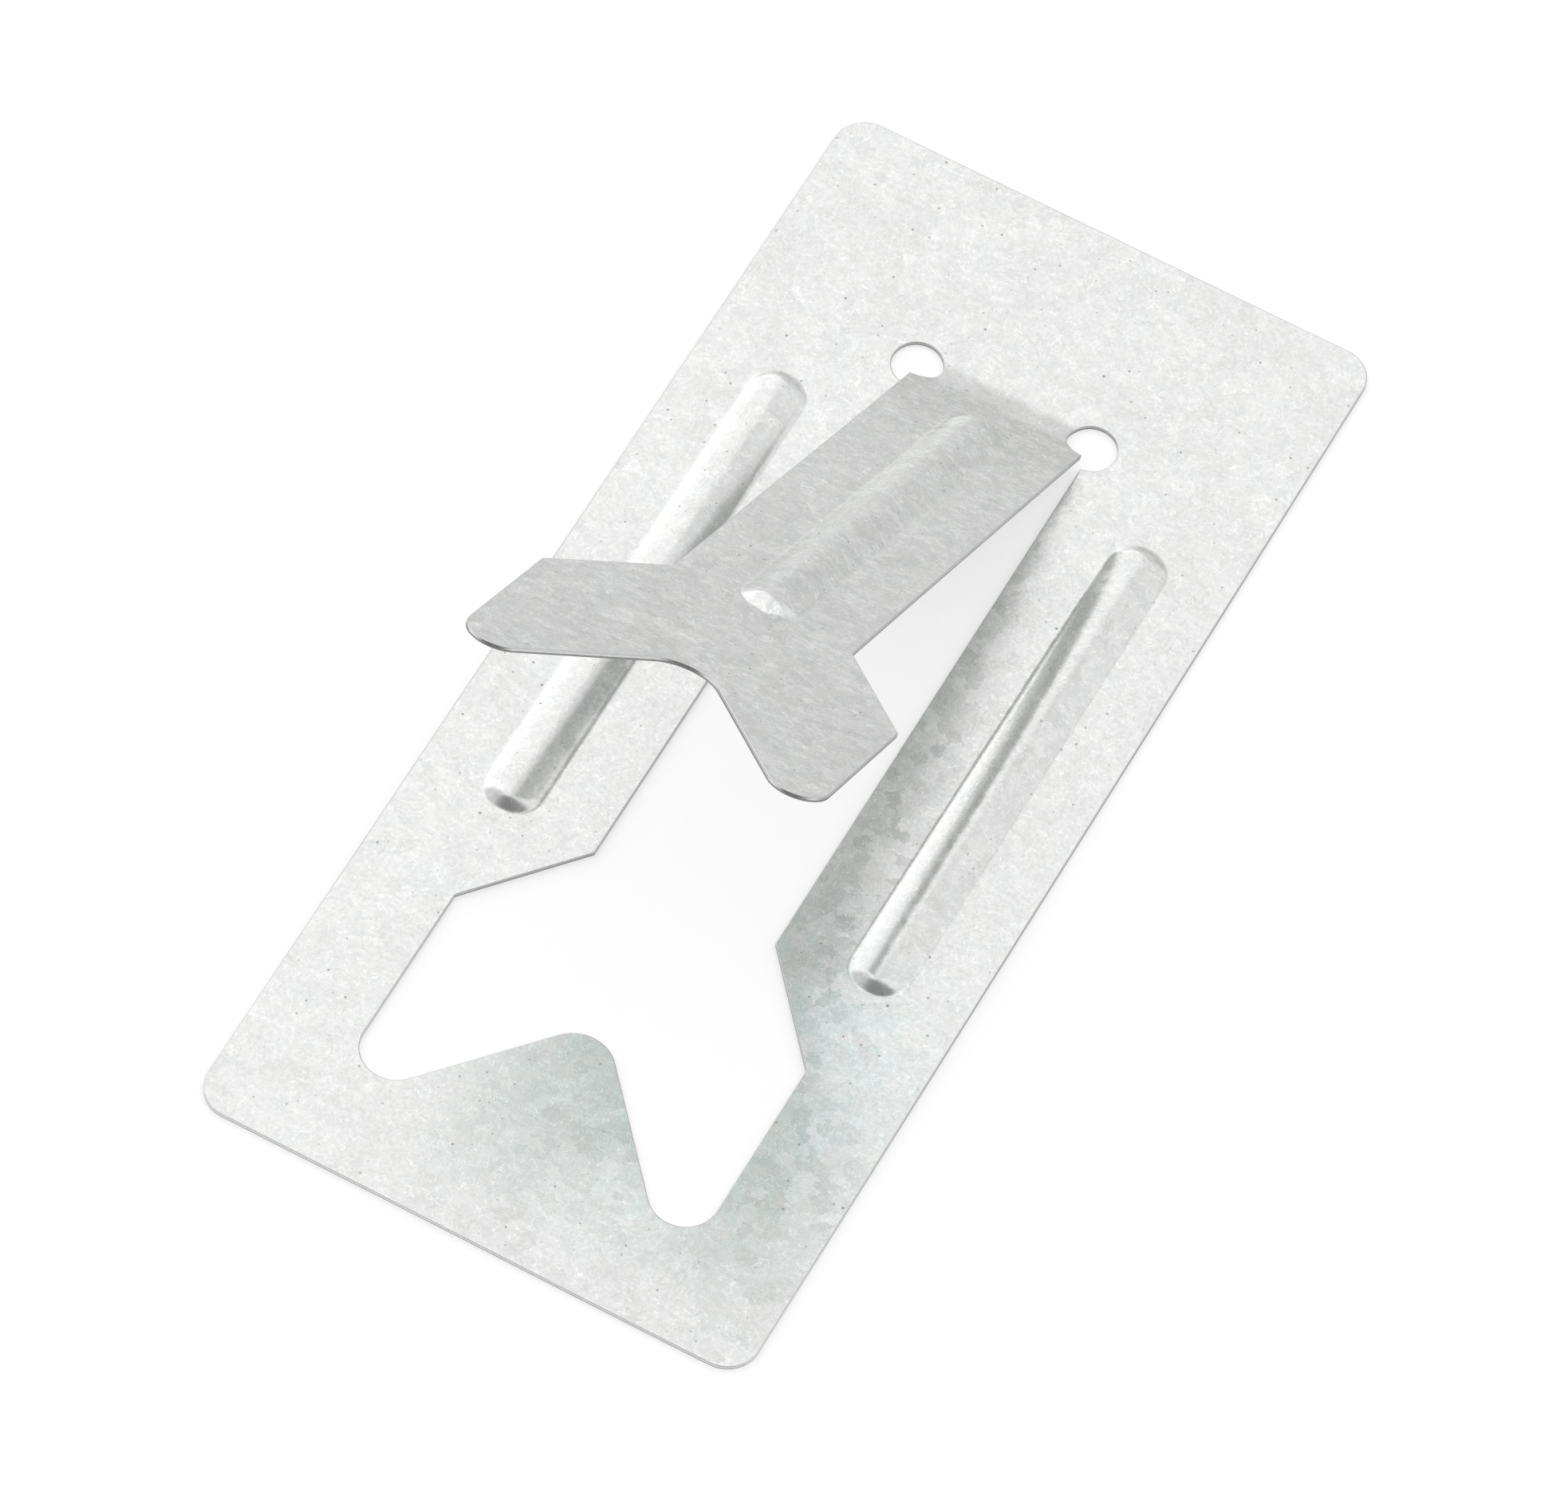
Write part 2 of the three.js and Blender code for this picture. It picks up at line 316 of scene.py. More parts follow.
def rib_stations(x, ends_y):
    """Round the rib: (spine point, outward direction)."""
    low, high = ends_y
    straight = np.linspace(low, high, int((high - low) / OUTLINE_STEP) + 1)[1:-1]
    stations = [((x, y), (1.0, 0.0)) for y in straight]
    for a in np.radians(np.linspace(0, 180, RIB_END_STEPS + 1)):
        stations.append(((x, high), (math.cos(a), math.sin(a))))
    stations += [((x, y), (-1.0, 0.0)) for y in straight[::-1]]
    for a in np.radians(np.linspace(180, 360, RIB_END_STEPS + 1)):
        stations.append(((x, low), (math.cos(a), math.sin(a))))
    return stations


def rib_reaches():
    """Distances from the spine to the points of a station, closer together near the foot."""
    inner = np.linspace(0, RIB_CREST_REACH, 6)
    return list(inner) + list(np.linspace(RIB_CREST_REACH, RIB_LIMIT, 21)[1:])


def rib_row(spine, outward, under):
    """The points of one station, from the spine out to the flat sheet."""
    row = []
    for reach in rib_reaches():
        across, along = outward[0] * reach, outward[1] * reach
        row.append((spine[0] + across, spine[1] + along, SHEET + rib_height(across, reach, under)))
    return row


# ---------------------------------------------------------------- pieces of flat sheet
FACE, SHEARED, HIDDEN = 0, 1, 2


def without_repeats(corners):
    return [c for i, c in enumerate(corners) if c != corners[i - 1]]


def at_height(plan, z):
    return np.column_stack([plan, np.full(len(plan), z)])


class Sheet:
    """Collects the points and faces of a piece of sheet, in the flat frame."""

    def __init__(self):
        self.points, self.faces, self.kinds = [], [], []

    def add_points(self, points):
        first = len(self.points)
        self.points.extend(tuple(map(float, p)) for p in points)
        return np.arange(first, first + len(points))

    def add_face(self, corners, kind):
        corners = without_repeats([int(c) for c in corners])
        if len(set(corners)) > 2:
            self.faces.append(corners)
            self.kinds.append(kind)


def inside(points, loops):
    """Even-odd test of many points against closed outlines."""
    crossings = np.zeros(len(points), int)
    for loop in loops:
        for (ax, ay), (bx, by) in zip(loop, np.roll(loop, -1, axis=0)):
            spans = (ay > points[:, 1]) != (by > points[:, 1])
            with np.errstate(divide="ignore", invalid="ignore"):
                at = ax + (points[:, 1] - ay) * (bx - ax) / (by - ay)
            crossings += spans & (points[:, 0] < at)
    return crossings % 2 == 1


def clear_of(points, loops, distance):
    keep = np.ones(len(points), bool)
    for loop in loops:
        for corner in loop:
            keep &= ((points - corner) ** 2).sum(axis=1) > distance**2
    return keep


def add_outline(sheet, outline, has_seam, is_outer):
    """The sheared edge round an outline; gives the border of the flat part beside it."""
    points, seam_mask = divided(outline, has_seam)
    material_left = (signed_area(points) > 0) == is_outer
    directions = inset_directions(points, material_left, seam_mask)
    levels = []
    for inset, depth in EDGE_PROFILE:
        levels.append(sheet.add_points(at_height(points + inset * directions, SHEET - depth)))
    count = len(points)
    for upper, lower in zip(levels, levels[1:]):
        for i in range(count):
            j = (i + 1) % count
            on_seam = has_seam and (seam_mask[i] or seam_mask[j])
            quad = [upper[i], lower[i], lower[j], upper[j]]
            sheet.add_face(quad if material_left else quad[::-1], HIDDEN if on_seam else SHEARED)
    return points + EDGE_PROFILE[0][0] * directions, levels[0], levels[-1]


def add_rib(sheet, x, ends_y):
    """A rib with its groove underneath; gives the border of the flat part round its foot."""
    tops, lows = [], []
    for spine, outward in rib_stations(x, ends_y):
        tops.append(sheet.add_points(rib_row(spine, outward, under=False)))
        lows.append(sheet.add_points(rib_row(spine, outward, under=True)))
    for i in range(len(tops)):
        j = (i + 1) % len(tops)
        for k in range(len(tops[0]) - 1):
            sheet.add_face([tops[i][k], tops[i][k + 1], tops[j][k + 1], tops[j][k]], FACE)
            sheet.add_face([lows[j][k], lows[j][k + 1], lows[i][k + 1], lows[i][k]], FACE)
    top_foot = np.array([row[-1] for row in tops])
    low_foot = np.array([row[-1] for row in lows])
    return np.array([sheet.points[i][:2] for i in top_foot]), top_foot, low_foot


def inner_grid(loops):
    """Evenly spaced points over the flat part, a little clear of its borders."""
    low_corner, high_corner = loops[0].min(axis=0), loops[0].max(axis=0)
    xs = np.arange(low_corner[0] + GRID / 2, high_corner[0], GRID)
    ys = np.arange(low_corner[1] + GRID / 2, high_corner[1], GRID)
    grid = np.stack(np.meshgrid(xs, ys), axis=-1).reshape(-1, 2)
    grid = grid[inside(grid, loops)]
    return grid[clear_of(grid, loops, GRID_CLEARANCE)]


def flat_triangles(plan, loops):
    """Anticlockwise triangles over the flat part; plan holds the loops' points, then the grid's."""
    edges, start = [], 0
    for loop in loops:
        count = len(loop)
        edges += [(start + i, start + (i + 1) % count) for i in range(count)]
        start += count
    in_millimetres = [Vector(p) for p in plan / MM]  # the size that suits its tolerance
    made = delaunay_2d_cdt(in_millimetres, edges, [], 0, 1e-6)
    triangles, origins = made[2], made[3]
    source = [origin[0] for origin in origins]
    corners = np.array([[source[i] for i in t] for t in triangles if len(t) == 3])
    centres = plan[corners].mean(axis=1)
    kept = []
    for t in corners[inside(centres, loops)]:
        (ax, ay), (bx, by), (cx, cy) = plan[t]
        is_clockwise = (bx - ax) * (cy - ay) - (by - ay) * (cx - ax) < 0
        kept.append(t[::-1] if is_clockwise else t)
    return kept


def fill_between(sheet, borders):
    """The flat top and underside between borders of (loop, top points, underside points)."""
    loops = [loop for loop, top, low in borders]
    grid = inner_grid(loops)
    top_grid = sheet.add_points(at_height(grid, SHEET))
    low_grid = sheet.add_points(at_height(grid, 0.0))
    top_index = np.concatenate([top for loop, top, low in borders] + [top_grid])
    low_index = np.concatenate([low for loop, top, low in borders] + [low_grid])
    for t in flat_triangles(np.concatenate(loops + [grid]), loops):
        sheet.add_face(top_index[t], FACE)
        sheet.add_face(low_index[t][::-1], FACE)


def flat_sheet(outlines, ribs):
    """A piece of sheet from (points, has_seam) outlines, the outer one first, and rib places."""
    sheet = Sheet()
    borders = []
    for number, (outline, has_seam) in enumerate(outlines):
        borders.append(add_outline(sheet, outline, has_seam, is_outer=number == 0))
    for x, ends_y in ribs:
        borders.append(add_rib(sheet, x, ends_y))
    fill_between(sheet, borders)
    return sheet


def bent_ring(along):
    """Points round the strip's section at one station: across the top, down, back, and up."""
    half_width = RELIEF_HOLE_X - math.sqrt(RELIEF_HOLE_RADIUS**2 - along**2)
    lean = RELIEF_HOLE_RADIUS / math.sqrt(RELIEF_HOLE_RADIUS**2 - along**2)
    y = FOLD_Y + along
    across = np.linspace(-1, 1, BEND_COLUMNS)
    top_half = half_width - EDGE_PROFILE[0][0] * lean
    low_half = half_width - EDGE_PROFILE[-1][0] * lean
    right_edge = [(half_width - inset * lean, y, SHEET - depth) for inset, depth in EDGE_PROFILE[1:-1]]
    left_edge = [(-x, y, z) for x, y, z in reversed(right_edge)]
    top = [(top_half * a, y, SHEET) for a in across]
    low = [(low_half * a, y, 0.0) for a in across[::-1]]
    return top + right_edge + low + left_edge


def bent_strip():
    """The strip between the relief holes, flat, in stations from the plate to the tongue."""
    sheet = Sheet()
    stations = np.linspace(BEND_REACH, -BEND_REACH, BEND_STATIONS)
    rows = [sheet.add_points(bent_ring(along)) for along in stations]
    count = len(rows[0])
    face_count = BEND_COLUMNS - 1
    low_start = face_count + len(EDGE_PROFILE) - 1
    for a, b in zip(rows, rows[1:]):
        for i in range(count):
            j = (i + 1) % count
            is_flat = i < face_count or low_start <= i < low_start + face_count
            sheet.add_face([a[i], b[i], b[j], a[j]], FACE if is_flat else SHEARED)
    sheet.add_face(rows[0], HIDDEN)
    sheet.add_face(rows[-1][::-1], HIDDEN)
    return sheet


# ---------------------------------------------------------------- from flat sheet to pieces
def waviness(x, y):
    """How far the rolled sheet departs from flat. It dies away towards the fold."""
    wave = 0.030 * np.sin(x / (13 * MM) + 0.6) * np.cos(y / (17 * MM) - 0.4)
    wave += 0.020 * np.sin(x / (6.1 * MM) - 1.1 + y / (23 * MM))
    wave += 0.012 * np.cos(y / (5.3 * MM) + x / (9 * MM))
    away = np.clip((np.abs(y - FOLD_Y) - BEND_REACH) / WAVE_FADE, 0, 1)
    return wave * MM * away * away * (3 - 2 * away)


def fold_share(along):
    """How much of the fold a place on the sheet has turned through: 0 on the plate, 1 past it."""
    return np.clip((BEND_REACH - along) / (2 * BEND_REACH), 0, 1)


def bent(points):
    """Flat strip points, carried round the bend so that both ends meet the flat sheet."""
    steps = np.linspace(BEND_REACH, -BEND_REACH, BEND_SUM_STEPS + 1)
    angles = FOLD_ANGLE * fold_share(steps)
    step = steps[0] - steps[1]
    mid_angles = (angles[1:] + angles[:-1]) / 2
    ys = np.concatenate([[0], np.cumsum(-np.cos(mid_angles) * step)])
    zs = np.concatenate([[0], np.cumsum(np.sin(mid_angles) * step)])
    end_y, end_z = -BEND_REACH * (1 + math.cos(FOLD_ANGLE)), BEND_REACH * math.sin(FOLD_ANGLE)
    share = np.linspace(0, 1, len(steps))
    ys += share * (end_y - ys[-1])
    zs += share * (end_z - zs[-1])
    travelled = FOLD_Y - points[:, 1]
    angle = np.interp(travelled, -steps, angles)
    y = FOLD_Y + BEND_REACH + np.interp(travelled, -steps, ys)
    z = SHEET / 2 + np.interp(travelled, -steps, zs)
    up = points[:, 2] - SHEET / 2
    return np.column_stack([points[:, 0], y + up * np.sin(angle), z + up * np.cos(angle)])


def raised(points):
    """Flat tongue points, turned up about the fold line."""
    turn = Matrix.Rotation(-FOLD_ANGLE, 3, "X")
    pivot = np.array([0, FOLD_Y, SHEET / 2])
    return (points - pivot) @ np.array(turn).T + pivot


def area_normals(points, faces, kinds):
    """Point normals weighted by face area, so flat stretches stay flat; hidden faces don't count."""
    normals = np.zeros_like(points)
    for corners, kind in zip(faces, kinds):
        if kind == HIDDEN:
            continue
        p = points[corners]
        n = np.zeros(3)
        for i in range(1, len(corners) - 1):
            n += np.cross(p[i] - p[0], p[i + 1] - p[0])
        normals[corners] += n
    length = np.linalg.norm(normals, axis=1)
    normals[length < 1e-20] = (0, 0, 1)
    return normals / np.maximum(length, 1e-20)[:, None]


def welded(sheet):
    """The sheet's points with coincident ones merged, and its faces with their kinds."""
    flat = np.array(sheet.points)
    keys = np.round(flat / WELD).astype(np.int64)
    _, first, back = np.unique(keys, axis=0, return_index=True, return_inverse=True)
    back = back.reshape(-1)
    faces, kinds = [], []
    for corners, kind in zip(sheet.faces, sheet.kinds):
        corners = without_repeats([back[c] for c in corners])
        if len(set(corners)) > 2:
            faces.append(corners)
            kinds.append(kind)
    return flat[first], faces, kinds


def linked(obj):
    bpy.context.scene.collection.objects.link(obj)
    return obj


def piece_from(name, sheet, place, materials):
    """A Blender object from a flat Sheet, its points carried to their place by a function."""
    flat, faces, kinds = welded(sheet)
    waved = flat.copy()
    waved[:, 2] += waviness(flat[:, 0], flat[:, 1])
    points = place(waved)
    mesh = bpy.data.meshes.new(name)
    mesh.from_pydata([tuple(p) for p in points], [], faces)
    for material in materials:
        mesh.materials.append(material)
    for polygon, kind in zip(mesh.polygons, kinds):
        polygon.material_index = 1 if kind == SHEARED else 0
        polygon.use_smooth = True
    attribute = mesh.attributes.new("sheet", "FLOAT_VECTOR", "POINT")
    attribute.data.foreach_set("vector", (flat / MM).astype(np.float32).ravel())
    normals = area_normals(points, faces, kinds)
    mesh.normals_split_custom_set_from_vertices([tuple(n) for n in normals])
    mesh.validate()
    return linked(bpy.data.objects.new(name, mesh))


# ---------------------------------------------------------------- building blocks of node trees
class Nodes:
    """Short calls for a node tree."""

    def __init__(self, tree):
        self.tree = tree
        tree.nodes.clear()

    def add(self, kind, inputs=None, **settings):
        node = self.tree.nodes.new(kind)
        for key, value in settings.items():
            setattr(node, key, value)
        for key, value in (inputs or {}).items():
            self.feed(node.inputs[key], value)
        return node

    def feed(self, socket, value):
        if isinstance(value, bpy.types.NodeSocket):
            self.tree.links.new(value, socket)
        else:
            socket.default_value = value

    def math(self, operation, *values):
        return self.add("ShaderNodeMath", dict(enumerate(values)), operation=operation).outputs[0]

    def centred(self, value):
        return self.math("SUBTRACT", value, 0.5)

    def total(self, start, terms):
        """start, plus each (value, weight) of the terms multiplied together."""
        for value, weight in terms:
            start = self.math("MULTIPLY_ADD", value, weight, start)
        return start

    def vector(self, operation, *vectors):
        inputs = dict(enumerate(vectors))
        return self.add("ShaderNodeVectorMath", inputs, operation=operation).outputs["Vector"]

    def scaled(self, vector, scale):
        inputs = {0: vector, "Scale": scale}
        return self.add("ShaderNodeVectorMath", inputs, operation="SCALE").outputs["Vector"]

    def measure(self, operation, a, b):
        inputs = {0: a, 1: b}
        return self.add("ShaderNodeVectorMath", inputs, operation=operation).outputs["Value"]

    def ramp(self, value, low, high, to_low=0.0, to_high=1.0, smooth=True):
        kind = "SMOOTHSTEP" if smooth else "LINEAR"
        inputs = {"Value": value, "From Min": low, "From Max": high, "To Min": to_low, "To Max": to_high}
        return self.add("ShaderNodeMapRange", inputs, interpolation_type=kind).outputs["Result"]

    def noise(self, vector, scale, detail=2.0, roughness=0.5, distortion=0.0):
        inputs = {"Vector": vector, "Scale": scale, "Detail": detail}
        inputs.update({"Roughness": roughness, "Distortion": distortion})
        return self.add("ShaderNodeTexNoise", inputs).outputs["Fac"]

    def stretch(self, vector, scale, angle=0.0):
        inputs = {"Vector": vector, "Scale": scale, "Rotation": (0.0, 0.0, math.radians(angle))}
        return self.add("ShaderNodeMapping", inputs).outputs["Vector"]

    def mix(self, factor, a, b, blend="MIX"):
        node = self.add("ShaderNodeMix", data_type="RGBA", blend_type=blend)
        colours = [s for s in node.inputs if s.type == "RGBA"]
        self.feed(node.inputs["Factor"], factor)
        self.feed(colours[0], a)
        self.feed(colours[1], b)
        return [s for s in node.outputs if s.type == "RGBA"][0]

    def flat_place(self):
        """Where a point lies on the flat sheet, in millimetres."""
        return self.add("ShaderNodeAttribute", attribute_name="sheet").outputs["Vector"]

    def metal_surface(self, colour, roughness, normal):
        inputs = {"Base Color": colour, "Metallic": 1.0, "Roughness": roughness, "Normal": normal}
        shader = self.add("ShaderNodeBsdfPrincipled", inputs)
        self.add("ShaderNodeOutputMaterial", {"Surface": shader.outputs["BSDF"]})


def new_material(name):
    material = bpy.data.materials.new(name)
    material.use_nodes = True
    return material, Nodes(material.node_tree)


# ---------------------------------------------------------------- zinc
def wandered(n, place):
    """The place, pushed about so that the patterns on it get crooked borders."""
    wander = n.add("ShaderNodeTexNoise", {"Vector": place, "Scale": 1.6, "Detail": 3.0}).outputs["Color"]
    return n.vector("ADD", place, n.scaled(n.vector("SUBTRACT", wander, (0.5, 0.5, 0.5)), WANDER))


def crystal_strokes(n, place, turn):
    """Fine strokes that run a different way in each crystal; turn is its random number."""
    angle = n.math("MULTIPLY", turn, 2 * math.pi)
    inputs = {"Vector": place, "Angle": angle}
    turned = n.add("ShaderNodeVectorRotate", inputs, rotation_type="Z_AXIS").outputs["Vector"]
    return n.noise(n.stretch(turned, (1.0, 4.2, 1.0)), 1.0, 3.0, 0.6)


def ridge_glint_mask(n, place, crooked):
    """Short curved ridges of frozen zinc, also painted lighter in the colour as glints."""
    ridge = n.math("ABSOLUTE", n.centred(n.noise(crooked, 0.75, 2.0, 0.6, 1.4)))
    broken = n.ramp(n.noise(place, 0.9, 2.0, 0.6), 0.46, 0.56)
    return n.math("MULTIPLY", n.ramp(ridge, 0.030, 0.008), broken)


def streak_mask(n, crooked):
    """Streaks across the sheet from rolling it, short and light."""
    return n.ramp(n.noise(n.stretch(crooked, (0.75, 1.9, 1.0), 9), 1.0, 3.0, 0.65), 0.50, 0.66)


def pit_mask(n, place):
    """Pits and specks, of many sizes and depths."""
    cells = n.add("ShaderNodeTexVoronoi", {"Vector": place, "Scale": PIT_SCALE})
    pick = n.add("ShaderNodeSeparateColor", {"Color": cells.outputs["Color"]})
    radius = n.ramp(pick.outputs[0], PIT_FROM, 1.0, 0.06, 0.17, smooth=False)
    pit = n.ramp(n.math("SUBTRACT", cells.outputs["Distance"], radius), -0.05, 0.02, 1.0, 0.0)
    pit = n.math("MULTIPLY", pit, n.math("GREATER_THAN", pick.outputs[0], PIT_FROM))
    return n.math("MULTIPLY", pit, n.ramp(pick.outputs[1], 0.0, 1.0, 0.25, 1.0))


def scratch_mask(n, place):
    """Faint scratches, long and thin, in two directions."""
    one = n.noise(n.stretch(place, (0.03, 2.6, 1.0), 24), 1.0, 2.0, 0.5)
    other = n.noise(n.stretch(place, (0.035, 3.1, 1.0), -37), 1.0, 2.0, 0.5)
    return n.math("MAXIMUM", n.ramp(one, 0.705, 0.735), n.ramp(other, 0.71, 0.74))


def zinc_patterns(n):
    """Everything the zinc's colour, roughness and bumps are made from."""
    place = n.flat_place()
    crooked = wandered(n, place)
    voronoi = n.add("ShaderNodeTexVoronoi", {"Vector": crooked, "Scale": CRYSTAL_SCALE})
    crystal = voronoi.outputs["Color"]  # three random numbers for each crystal
    tone, turn, cool = n.add("ShaderNodeSeparateColor", {"Color": crystal}).outputs
    return {
        "place": place,
        "crystal": crystal,
        "tone": tone,
        "cool": cool,
        "strokes": crystal_strokes(n, place, turn),
        "fine": n.noise(place, 2.4, 3.0, 0.62),
        "broad": n.noise(place, 0.10, 2.0, 0.5),
        "ridge_glint": ridge_glint_mask(n, place, crooked),
        "streak": streak_mask(n, crooked),
        "pit": pit_mask(n, place),
        "scratch": scratch_mask(n, place),
    }


def zinc_brightness(n, p, streaks):
    brightness = n.total(0.935 - 0.05 * streaks, [
        (p["tone"], 0.10),
        (n.centred(p["strokes"]), 0.30),
        (n.centred(p["fine"]), 0.20),
        (n.centred(p["broad"]), 0.10),
        # painted glints: the ridges are made lighter in the colour
        (p["ridge_glint"], 0.15 + 0.06 * streaks),
        (p["streak"], 0.20 * streaks),
    ])
    unpitted = n.math("SUBTRACT", 1.0, n.math("MULTIPLY", p["pit"], PIT_DARKENING))
    return n.math("MULTIPLY", brightness, unpitted)


def zinc_colour(n, p, streaks, painted_reflection):
    """Grey zinc with cooler and warmer crystals, and a blue-grey painted reflection beside the opening,
    where the plate mirrors the tongue.
    """
    colour = n.scaled(ZINC_TINT, zinc_brightness(n, p, streaks))
    cool_place = n.ramp(p["broad"], 0.40, 0.62, 0.25, 1.0)
    is_cool = n.math("MULTIPLY", n.ramp(p["cool"], 0.55, 0.85), cool_place)
    colour = n.mix(is_cool, colour, COOL_CRYSTAL, "MULTIPLY")
    colour = n.mix(n.ramp(p["cool"], 0.30, 0.08), colour, WARM_CRYSTAL, "MULTIPLY")
    # painted reflection: a blue-grey tint where the plate mirrors the tongue
    away = n.measure("DISTANCE", p["place"], PAINTED_REFLECTION_CENTRE)
    crystal_share = n.ramp(p["cool"], 0.0, 1.0, 0.4, 1.0)
    in_painted_reflection = n.math("MULTIPLY", n.ramp(away, PAINTED_REFLECTION_OUTER, PAINTED_REFLECTION_INNER), crystal_share)
    return n.mix(n.math("MULTIPLY", in_painted_reflection, painted_reflection), colour, PAINTED_REFLECTION_TINT, "MULTIPLY")


def zinc_roughness(n, p):
    return n.total(ZINC_ROUGHNESS - 0.025, [
        (p["tone"], 0.05),
        (n.centred(p["fine"]), -0.20),
        (p["pit"], 0.25),
        (p["scratch"], -0.05),
    ])


def zinc_normal(n, p, streaks):
    """Small bumps, and a tilt of its own for each crystal."""
    height = n.total(0.0, [
        (p["fine"], 0.9),
        (p["strokes"], 0.5),
        (p["ridge_glint"], 0.35),
        (p["streak"], 0.45 * streaks),
        (p["pit"], -1.6),
        (p["scratch"], -0.4),
    ])
    bump = n.add("ShaderNodeBump", {"Height": height, "Strength": 0.45, "Distance": 0.010 * MM})
    tilt = n.scaled(n.vector("SUBTRACT", p["crystal"], (0.5, 0.5, 0.5)), CRYSTAL_TILT)
    return n.vector("NORMALIZE", n.vector("ADD", bump.outputs["Normal"], tilt))


def zinc_material(name, streaks, painted_reflection):
    """Hot-dip zinc with a small spangle: tilted crystals, fine grain, ridges painted bright as glints,
    dark pits.
    """
    material, n = new_material(name)
    p = zinc_patterns(n)
    n.metal_surface(zinc_colour(n, p, streaks, painted_reflection), zinc_roughness(n, p), zinc_normal(n, p, streaks))
    return material


# ---------------------------------------------------------------- sheared steel
def sheared_material(name):
    """Bare steel on a sheared edge: a burnished band above, a torn one below, fine vertical marks. Both
    bands are partly darkened as painted shade for the contact shadow the edge mirrors.
    """
    material, n = new_material(name)
    place = n.flat_place()
    up = n.add("ShaderNodeSeparateXYZ", {"Vector": place}).outputs["Z"]
    height = n.math("DIVIDE", up, SHEET / MM)
    ragged = n.noise(n.stretch(place, (2.2, 2.2, 0.2)), 1.0, 3.0, 0.6)
    marks = n.noise(n.stretch(place, (9.0, 9.0, 0.4)), 1.0, 3.0, 0.65)
    torn = n.ramp(n.math("MULTIPLY_ADD", ragged, 0.25, height), 0.50, 0.62, 1.0, 0.0)
    bare = n.mix(marks, BURNISHED_DARK, BURNISHED_LIGHT)
    dull = n.mix(marks, TORN_DARK, TORN_LIGHT)
    rough = n.total(0.18, [(marks, 0.15), (torn, 0.22)])
    relief = n.math("MULTIPLY", marks, n.math("ADD", torn, 0.4))
    bump = n.add("ShaderNodeBump", {"Height": relief, "Strength": 0.5, "Distance": 0.02 * MM})
    n.metal_surface(n.mix(torn, bare, dull), rough, bump.outputs["Normal"])
    return material


# ---------------------------------------------------------------- the stand
def make_plate(zinc, sheared):
    outlines = [(plate_outline(), False), (opening_outline(), True)]
    ribs = [(PLATE_RIB_X, PLATE_RIB_ENDS_Y), (-PLATE_RIB_X, PLATE_RIB_ENDS_Y)]
    plate = piece_from("plate_sheet", flat_sheet(outlines, ribs), lambda points: points, [zinc, sheared])
    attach(plate, "plate")
    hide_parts("base_plate")


def make_tongue(zinc, sheared):
    sheet = flat_sheet([(tongue_outline(), True)], [(0.0, TONGUE_RIB_ENDS_Y)])
    tongue = piece_from("tongue_sheet", sheet, raised, [zinc, sheared])
    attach(tongue, "tongue")
    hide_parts("rest_tongue")


def make_fold(zinc, sheared):
    strip = piece_from("fold_strip", bent_strip(), bent, [zinc, sheared])
    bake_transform(strip)
    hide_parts("fold_bend")


# ---------------------------------------------------------------- floor, light, camera
def painted_floor_light(n):
    """Painted light and shade of the floor where the metal mirrors it: brighter in front and to the
    left, darker under the tongue and far behind.
    """
    place = n.add("ShaderNodeTexCoord").outputs["Object"]
    parts = n.add("ShaderNodeSeparateXYZ", {"Vector": place}).outputs
    brightness = 1.0
    for axis, start, end, at_start, at_end in FLOOR_PAINTED_LIGHT:
        factor = n.ramp(parts[axis], start, end, at_start, at_end)
        brightness = n.math("MULTIPLY", brightness, factor)
    return brightness


def floor_material():
    """Pale paper, plain to the camera, glowing with painted light and shade in the metal's reflections,
    and clear from below.
    """
    material, n = new_material("floor_paper")
    seen = n.add("ShaderNodeLightPath").outputs["Is Camera Ray"]
    pale = n.math("MULTIPLY", seen, FLOOR_SHADE)
    shade = n.add("ShaderNodeCombineColor", {0: pale, 1: pale, 2: pale}).outputs[0]
    # Rays other than the camera's see only glow here: painted light and shade, not lit paper.
    reflected = n.math("MULTIPLY", n.math("SUBTRACT", 1.0, seen), painted_floor_light(n))
    glow = n.math("MULTIPLY_ADD", seen, FLOOR_GLOW, reflected)
    paper = {"Base Color": shade, "Roughness": 0.9, "Specular IOR Level": 0.0}
    paper.update({"Emission Color": (1.0, 1.0, 1.0, 1.0), "Emission Strength": glow})
    shader = n.add("ShaderNodeBsdfPrincipled", paper).outputs["BSDF"]
    from_below = n.add("ShaderNodeNewGeometry").outputs["Backfacing"]
    clear = n.add("ShaderNodeBsdfTransparent").outputs[0]
    surface = n.add("ShaderNodeMixShader", {0: from_below, 1: shader, 2: clear})
    n.add("ShaderNodeOutputMaterial", {"Surface": surface.outputs[0]})
    return material


def make_floor():
    mesh = bpy.data.meshes.new("floor")
    half, z = FLOOR_HALF_SIZE, FLOOR_Z
    corners = [(-half, -half, z), (half, -half, z), (half, half, z), (-half, half, z)]
    mesh.from_pydata(corners, [], [(0, 1, 2, 3)])
    mesh.materials.append(floor_material())
    linked(bpy.data.objects.new("floor", mesh))


def tent_lobe(n, direction, towards, outer, inner, strength):
    along = n.measure("DOT_PRODUCT", direction, tuple(Vector(towards).normalized()))
    ends_at, full_at = math.cos(math.radians(outer)), math.cos(math.radians(inner))
    return n.ramp(along, ends_at, full_at, 0.0, strength)


